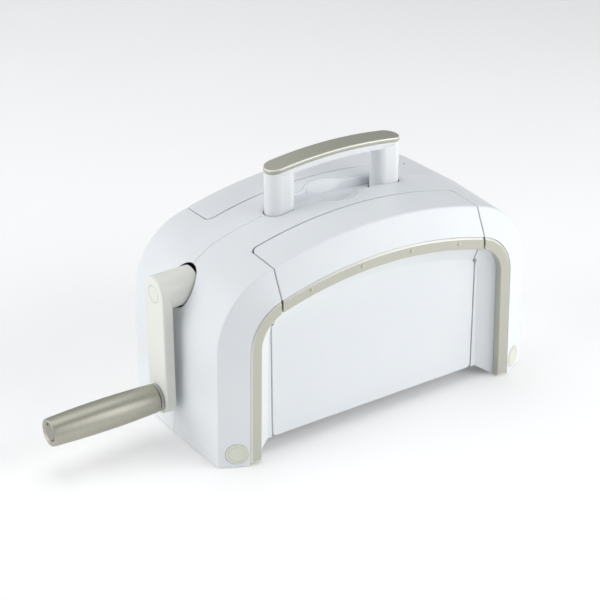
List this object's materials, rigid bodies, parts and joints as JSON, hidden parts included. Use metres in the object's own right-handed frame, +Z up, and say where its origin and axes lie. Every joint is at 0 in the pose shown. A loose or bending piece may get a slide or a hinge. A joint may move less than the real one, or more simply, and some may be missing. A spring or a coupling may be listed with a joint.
{
  "type": "die cutting machine",
  "caption": "Hand-cranked roller die cutting machine in an arched white folding case, with fold-down platforms at front and rear, champagne trim and a slide-down carry handle.",
  "frame": {"origin": "on the floor, under the middle of the whole machine's box, crank and grip included", "axes": "+X to the right along the front, with the crank on the -X side; +Y to the rear; +Z up"},
  "size_m": [0.4826, 0.1792, 0.2503],
  "materials": {
    "case_white": "smooth satin white moulded plastic",
    "champagne_trim": "satin champagne metallic coat",
    "warm_white": "fine matt warm white moulded plastic",
    "satin_nickel": "satin turned metal",
    "frame_steel": "zinc plated sheet and bar",
    "roller_steel": "ground steel",
    "gear_black": "black engineering plastic",
    "bush_bronze": "sintered bronze",
    "foot_rubber": "matt black rubber"
  },
  "bodies": {
    "machine_body": {"front_casing": "case_white", "front_inner_cover": "case_white", "front_bed_plate": "case_white", "front_tie_rod": "frame_steel", "front_left_leg_trim": "champagne_trim", "front_left_plug": "warm_white", "front_left_foot": "foot_rubber", "front_left_hinge_pin": "frame_steel", "front_right_leg_trim": "champagne_trim", "front_right_plug": "warm_white", "front_right_foot": "foot_rubber", "front_right_hinge_pin": "frame_steel", "rear_casing": "case_white", "rear_inner_cover": "case_white", "rear_bed_plate": "case_white", "rear_tie_rod": "frame_steel", "rear_left_leg_trim": "champagne_trim", "rear_left_plug": "warm_white", "rear_left_foot": "foot_rubber", "rear_left_hinge_pin": "frame_steel", "rear_right_leg_trim": "champagne_trim", "rear_right_plug": "warm_white", "rear_right_foot": "foot_rubber", "rear_right_hinge_pin": "frame_steel", "left_side_plate": "frame_steel", "left_post_guide": "gear_black", "lower_roller_left_bush": "bush_bronze", "upper_roller_left_bush": "bush_bronze", "right_side_plate": "frame_steel", "right_post_guide": "gear_black", "lower_roller_right_bush": "bush_bronze", "upper_roller_right_bush": "bush_bronze", "base_plate": "frame_steel", "gear_bracket": "frame_steel", "crank_inner_bush": "bush_bronze", "crank_outer_bush": "bush_bronze", "handle_well": "case_white"},
    "crank": {"crank_shaft": "frame_steel", "drive_pinion": "gear_black", "crank_arm": "warm_white", "crank_arm_cap": "warm_white", "grip_spindle": "frame_steel", "grip_collar": "warm_white"},
    "grip": {"grip_barrel": "satin_nickel", "grip_end_cap": "satin_nickel"},
    "upper_roller": {"upper_roller": "roller_steel", "upper_roller_gear": "gear_black", "driven_gear": "gear_black"},
    "lower_roller": {"lower_roller": "roller_steel", "lower_roller_gear": "gear_black"},
    "front_platform": {"front_flap_shell": "case_white", "front_platform_plate": "case_white", "front_arch_trim": "champagne_trim"},
    "rear_platform": {"rear_flap_shell": "case_white", "rear_platform_plate": "case_white", "rear_arch_trim": "champagne_trim"},
    "carry_handle": {"carry_handle": "case_white", "handle_top_cover": "champagne_trim"}
  },
  "joints": [
    {"name": "crank_turn", "type": "hinge", "parent": "machine_body", "child": "crank", "pos_m": [0.0637, 0, 0.152], "axis": [1, 0, 0], "continuous": true},
    {"name": "grip_spin", "type": "hinge", "parent": "crank", "child": "grip", "pos_m": [-0.1328, 0, 0.0449], "axis": [1, 0, 0], "continuous": true},
    {"name": "upper_roller_turn", "type": "hinge", "parent": "machine_body", "child": "upper_roller", "pos_m": [0.0637, 0, 0.085], "axis": [1, 0, 0], "continuous": true},
    {"name": "lower_roller_turn", "type": "hinge", "parent": "machine_body", "child": "lower_roller", "pos_m": [0.0637, 0, 0.036], "axis": [1, 0, 0], "continuous": true},
    {"name": "front_platform_fold", "type": "hinge", "parent": "machine_body", "child": "front_platform", "pos_m": [0.0637, -0.0607, 0.029], "axis": [1, 0, 0], "range_deg": [0, 90]},
    {"name": "rear_platform_fold", "type": "hinge", "parent": "machine_body", "child": "rear_platform", "pos_m": [0.0637, 0.0607, 0.029], "axis": [-1, 0, 0], "range_deg": [0, 90]},
    {"name": "carry_handle_slide", "type": "slide", "parent": "machine_body", "child": "carry_handle", "axis": [0, 0, 1], "range_m": [-0.042, 0]}
  ],
  "couplings": [
    {"joint": "upper_roller_turn", "follows": "crank_turn", "ratio": -0.28846},
    {"joint": "lower_roller_turn", "follows": "crank_turn", "ratio": 0.28846}
  ]
}
